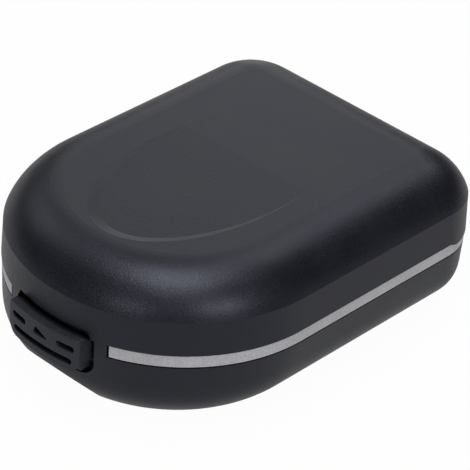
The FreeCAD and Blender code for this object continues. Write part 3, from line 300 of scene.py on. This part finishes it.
def make_floor():
    """Pale floor that the camera and reflections see as white, with a little shadow left."""
    half = FLOOR_HALF
    mesh = bpy.data.meshes.new("floor")
    mesh.from_pydata([(-half, -half, 0), (half, -half, 0), (half, half, 0), (-half, half, 0)],
                     [], [(0, 1, 2, 3)])
    floor = link("floor", mesh)
    made, surface, shader = new_material(
        "floor_paper", Base_Color=(FLOOR_GREY, FLOOR_GREY, FLOOR_GREY, 1),
        Roughness=FLOOR_ROUGHNESS)
    path = add(made, "ShaderNodeLightPath")
    by_camera = path.outputs["Is Camera Ray"]
    strength = add(made, "ShaderNodeMapRange", To_Min=FLOOR_IN_GLOSS)
    wire(made, by_camera, strength.inputs["Value"])
    glow = add(made, "ShaderNodeEmission")
    wire(made, strength.outputs["Result"], glow.inputs["Strength"])
    seen = combine(made, "MAXIMUM", by_camera, path.outputs["Is Glossy Ray"])
    seen = combine(made, "MAXIMUM", seen, path.outputs["Is Transmission Ray"])
    share = add(made, "ShaderNodeMath", operation="MULTIPLY")
    share.inputs[1].default_value = FLOOR_GLOW
    wire(made, seen, share.inputs[0])
    mix = add(made, "ShaderNodeMixShader")
    wire(made, share.outputs[0], mix.inputs["Fac"])
    wire(made, shader.outputs["BSDF"], mix.inputs[1])
    wire(made, glow.outputs["Emission"], mix.inputs[2])
    wire(made, mix.outputs["Shader"], surface)
    mesh.materials.append(made)


def make_world():
    world = bpy.data.worlds.new("studio")
    world.use_nodes = True
    adjust(world.node_tree.nodes["Background"], Color=(1, 1, 1, 1), Strength=WORLD_STRENGTH)
    bpy.context.scene.world = world


def ring(low, high, inset, level, nose_radius, hinge_radius):
    """Even points round a box drawn in by inset, with round corners, at one level."""
    margin = SKIN + inset
    middle = (low.x + high.x) / 2
    half = (high.x - low.x) / 2 - margin
    nose, hinge = low.y + margin, high.y - margin
    corners = (
        (hinge_radius - half, hinge - hinge_radius, hinge_radius, 90),
        (nose_radius - half, nose + nose_radius, nose_radius, 180),
        (half - nose_radius, nose + nose_radius, nose_radius, 270),
        (half - hinge_radius, hinge - hinge_radius, hinge_radius, 0),
    )
    path = [Vector((0, hinge))]
    for x, y, radius, start in corners:
        for step in range(CORNER_STEPS + 1):
            turn = math.radians(start + 90 * step / CORNER_STEPS)
            path.append(Vector((x + radius * math.cos(turn), y + radius * math.sin(turn))))
    path.append(Vector((0, hinge)))
    runs = [(b - a).length for a, b in zip(path, path[1:])]
    points = []
    at, done = 0, 0.0
    for number in range(ROUND_POINTS):
        wanted = sum(runs) * number / ROUND_POINTS
        while done + runs[at] < wanted:
            done += runs[at]
            at += 1
        point = path[at].lerp(path[at + 1], (wanted - done) / runs[at])
        points.append((middle + point.x, point.y, level))
    return points


def rounded_edge(radius, foot, wall):
    """Insets and levels of a rounded bottom edge, from the floor up to the wall."""
    turns = [math.radians(90 * step / EDGE_STEPS) for step in range(EDGE_STEPS + 1)]
    return [(wall + radius * (1 - math.sin(turn)), foot + radius * (1 - math.cos(turn)))
            for turn in turns]


def skin_of(name, rings, slot, body, node, materials):
    """A closed smooth mesh through rings of points, which stands for a soft node."""
    count = ROUND_POINTS
    faces = [tuple(reversed(range(count)))]
    for row in range(len(rings) - 1):
        for i in range(count):
            j = (i + 1) % count
            faces.append((row * count + i, row * count + j,
                          (row + 1) * count + j, (row + 1) * count + i))
    faces.append(tuple(range((len(rings) - 1) * count, len(rings) * count)))
    mesh = bpy.data.meshes.new(name)
    mesh.from_pydata([point for points in rings for point in points], [], faces)
    mesh.shade_smooth()
    item = link(name, mesh)
    shaping = bmesh.new()
    shaping.from_mesh(mesh)
    bmesh.ops.recalc_face_normals(shaping, faces=shaping.faces)
    shaping.to_mesh(mesh)
    shaping.free()
    mesh.materials.append(materials[slot])
    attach(item, body)
    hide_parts(node)
    return item


def make_liner(node, materials):
    """Silicone cup of a well: a thin wall with a rolled lip, a round foot and a flat floor."""
    low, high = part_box(node)
    half = (high.x - low.x) / 2 - SKIN
    foot, top = low.z + SKIN, high.z - SKIN
    lip = LINER_WALL / 2
    profile = [(LINER_CORE, foot)] + rounded_edge(LINER_ROUND, foot, 0.0)
    for step in range(LIP_STEPS + 1):
        turn = math.pi * step / LIP_STEPS
        profile.append((lip - lip * math.cos(turn), top - lip + lip * math.sin(turn)))
    inner = rounded_edge(LINER_ROUND - lip, foot + LINER_WALL, LINER_WALL)
    profile += list(reversed(inner)) + [(LINER_CORE, foot + LINER_WALL)]
    rings = []
    for inset, level in profile:
        radius = half - inset - LINER_FLAT
        rings.append(ring(low, high, inset, level, radius, radius))
    skin_of(node + "_cup", rings, "liner_rubber", "base", node, materials)


def make_pad(materials):
    """Foam pad under the lid's panel: crowned, with a pressed channel inside its edge."""
    low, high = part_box("lid_pad")
    half = (high.x - low.x) / 2 - SKIN
    back, face = high.z - SKIN, low.z + SKIN
    profile = [(inset * MM, back - drop * MM) for inset, drop in PAD_BACK]
    profile += reversed(rounded_edge(PAD_ROUND, face, 0.0))
    profile += [(inset * MM, face + rise * MM) for inset, rise in PAD_FACE]
    rings = []
    for inset, level in profile:
        nose_radius = max(half - inset - PAD_FLAT, PAD_LEAST)
        hinge_radius = max(PAD_CORNER - inset, PAD_LEAST)
        rings.append(ring(low, high, inset, level, nose_radius, hinge_radius))
    pad = skin_of("lid_pad_foam", rings, "pad_foam", "lid", "lid_pad", materials)


make_camera()
make_world()
make_floor()
for lamp in LAMPS:
    make_lamp(*lamp)
materials = make_materials()
dress_nodes(materials)
for side in ("left", "right"):
    make_liner(f"aid_liner_{side}", materials)
make_pad(materials)

bpy.context.scene.view_settings.view_transform = "Standard"
